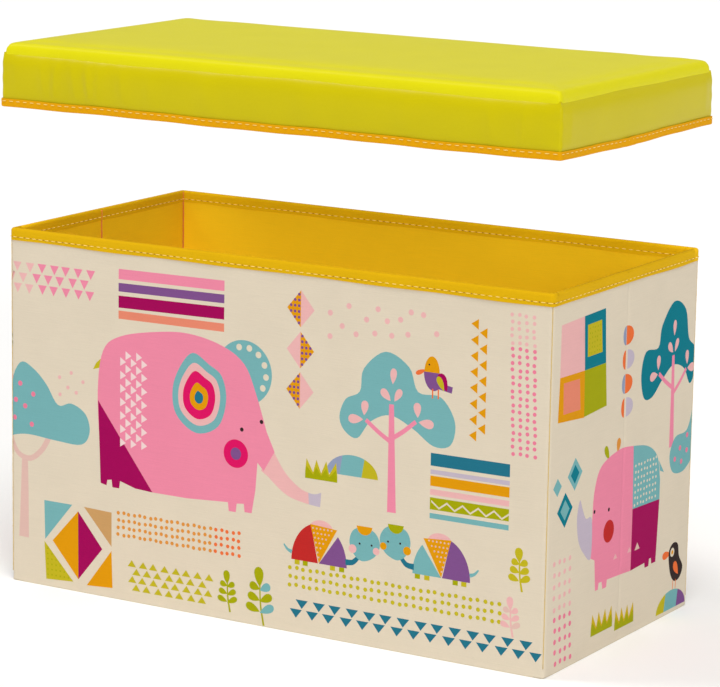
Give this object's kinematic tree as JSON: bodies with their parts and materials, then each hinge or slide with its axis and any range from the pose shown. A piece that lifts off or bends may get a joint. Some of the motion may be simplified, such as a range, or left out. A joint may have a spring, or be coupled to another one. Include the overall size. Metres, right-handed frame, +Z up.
{
  "type": "toy box",
  "caption": "Foldable fabric toy box with a printed cloth body over stiff boards, rim tape, a folding base and a separate padded lid with a skirt.",
  "frame": {"origin": "centre of the footprint, on the floor under the box", "axes": "+X along the length to the right as seen from the front, +Y from the front wall to the back wall, +Z up"},
  "size_m": [0.611, 0.311, 0.5323],
  "materials": {
    "printed_cloth": "matte",
    "rim_tape": "matte",
    "lining_cloth": "matte",
    "bottom_cloth": "matte",
    "hardboard": "matte",
    "webbing": "matte",
    "lid_cloth": "satin",
    "lid_side_cloth": "satin",
    "lid_lining": "matte",
    "lid_hem_tape": "matte",
    "card": "matte",
    "foam": "matte"
  },
  "bodies": {
    "box": {"back_board": "hardboard", "back_cover": "printed_cloth", "back_hem": "printed_cloth", "back_left_fold": "printed_cloth", "back_lining": "lining_cloth", "back_right_fold": "printed_cloth", "back_rim_tape": "rim_tape", "base_hinge_strip": "lining_cloth", "bottom_cloth": "bottom_cloth", "bottom_lining": "lining_cloth", "front_hem": "printed_cloth", "left_hem": "printed_cloth", "right_hem": "printed_cloth"},
    "base": {"base_board": "hardboard", "base_cover_top": "lining_cloth", "base_cover_under": "bottom_cloth", "base_pull_tab": "webbing"},
    "right_rear": {"right_middle_fold": "printed_cloth", "right_rear_board": "hardboard", "right_rear_cover": "printed_cloth", "right_rear_lining": "lining_cloth", "right_rear_rim_tape": "rim_tape"},
    "right_front": {"right_front_board": "hardboard", "right_front_cover": "printed_cloth", "right_front_lining": "lining_cloth", "right_front_rim_tape": "rim_tape"},
    "front": {"front_board": "hardboard", "front_cover": "printed_cloth", "front_left_fold": "printed_cloth", "front_lining": "lining_cloth", "front_right_fold": "printed_cloth", "front_rim_tape": "rim_tape"},
    "left_rear": {"left_middle_fold": "printed_cloth", "left_rear_board": "hardboard", "left_rear_cover": "printed_cloth", "left_rear_lining": "lining_cloth", "left_rear_rim_tape": "rim_tape"},
    "left_front": {"left_front_board": "hardboard", "left_front_cover": "printed_cloth", "left_front_lining": "lining_cloth", "left_front_rim_tape": "rim_tape"},
    "lid": {"lid_back_band": "lid_side_cloth", "lid_back_skirt_lining": "lid_lining", "lid_back_stiffener": "card", "lid_board": "hardboard", "lid_foam": "foam", "lid_front_band": "lid_side_cloth", "lid_front_skirt_lining": "lid_lining", "lid_front_stiffener": "card", "lid_hem_tape": "lid_hem_tape", "lid_left_band": "lid_side_cloth", "lid_left_skirt_lining": "lid_lining", "lid_left_stiffener": "card", "lid_lining": "lid_lining", "lid_right_band": "lid_side_cloth", "lid_right_skirt_lining": "lid_lining", "lid_right_stiffener": "card", "lid_top_cover": "lid_cloth"}
  },
  "joints": [
    {"name": "lid_lift", "type": "slide", "parent": "box", "child": "lid", "axis": [0, 0, 1], "range_m": [-0.145, 0]},
    {"name": "base_hinge", "type": "hinge", "parent": "box", "child": "base", "pos_m": [0, 0.1439, 0.006], "axis": [-1, 0, 0], "range_deg": [0, 90]},
    {"name": "wall_fold", "type": "hinge", "parent": "box", "child": "right_rear", "pos_m": [0.294, 0.1387, 0.18], "axis": [0, 0, -1], "range_deg": [0, 86], "deforming": ["back_right_fold", "bottom_cloth", "bottom_lining", "front_hem", "left_hem", "right_hem"]},
    {"name": "right_middle_crease", "type": "hinge", "parent": "right_rear", "child": "right_front", "pos_m": [0.3002, 0, 0.18], "axis": [0, 0, 1], "range_deg": [0, 172], "deforming": ["right_middle_fold"]},
    {"name": "front_right_corner", "type": "hinge", "parent": "right_front", "child": "front", "pos_m": [0.294, -0.1387, 0.18], "axis": [0, 0, -1], "range_deg": [0, 86], "deforming": ["front_right_fold", "front_left_fold"]},
    {"name": "back_left_corner", "type": "hinge", "parent": "box", "child": "left_rear", "pos_m": [-0.294, 0.1387, 0.18], "axis": [0, 0, 1], "range_deg": [0, 86], "deforming": ["back_left_fold"]},
    {"name": "left_middle_crease", "type": "hinge", "parent": "left_rear", "child": "left_front", "pos_m": [-0.3002, 0, 0.18], "axis": [0, 0, -1], "range_deg": [0, 172], "deforming": ["left_middle_fold"]}
  ],
  "couplings": [
    {"joint": "right_middle_crease", "follows": "wall_fold", "ratio": 2},
    {"joint": "front_right_corner", "follows": "wall_fold", "ratio": 1},
    {"joint": "back_left_corner", "follows": "wall_fold", "ratio": 1},
    {"joint": "left_middle_crease", "follows": "wall_fold", "ratio": 2}
  ]
}
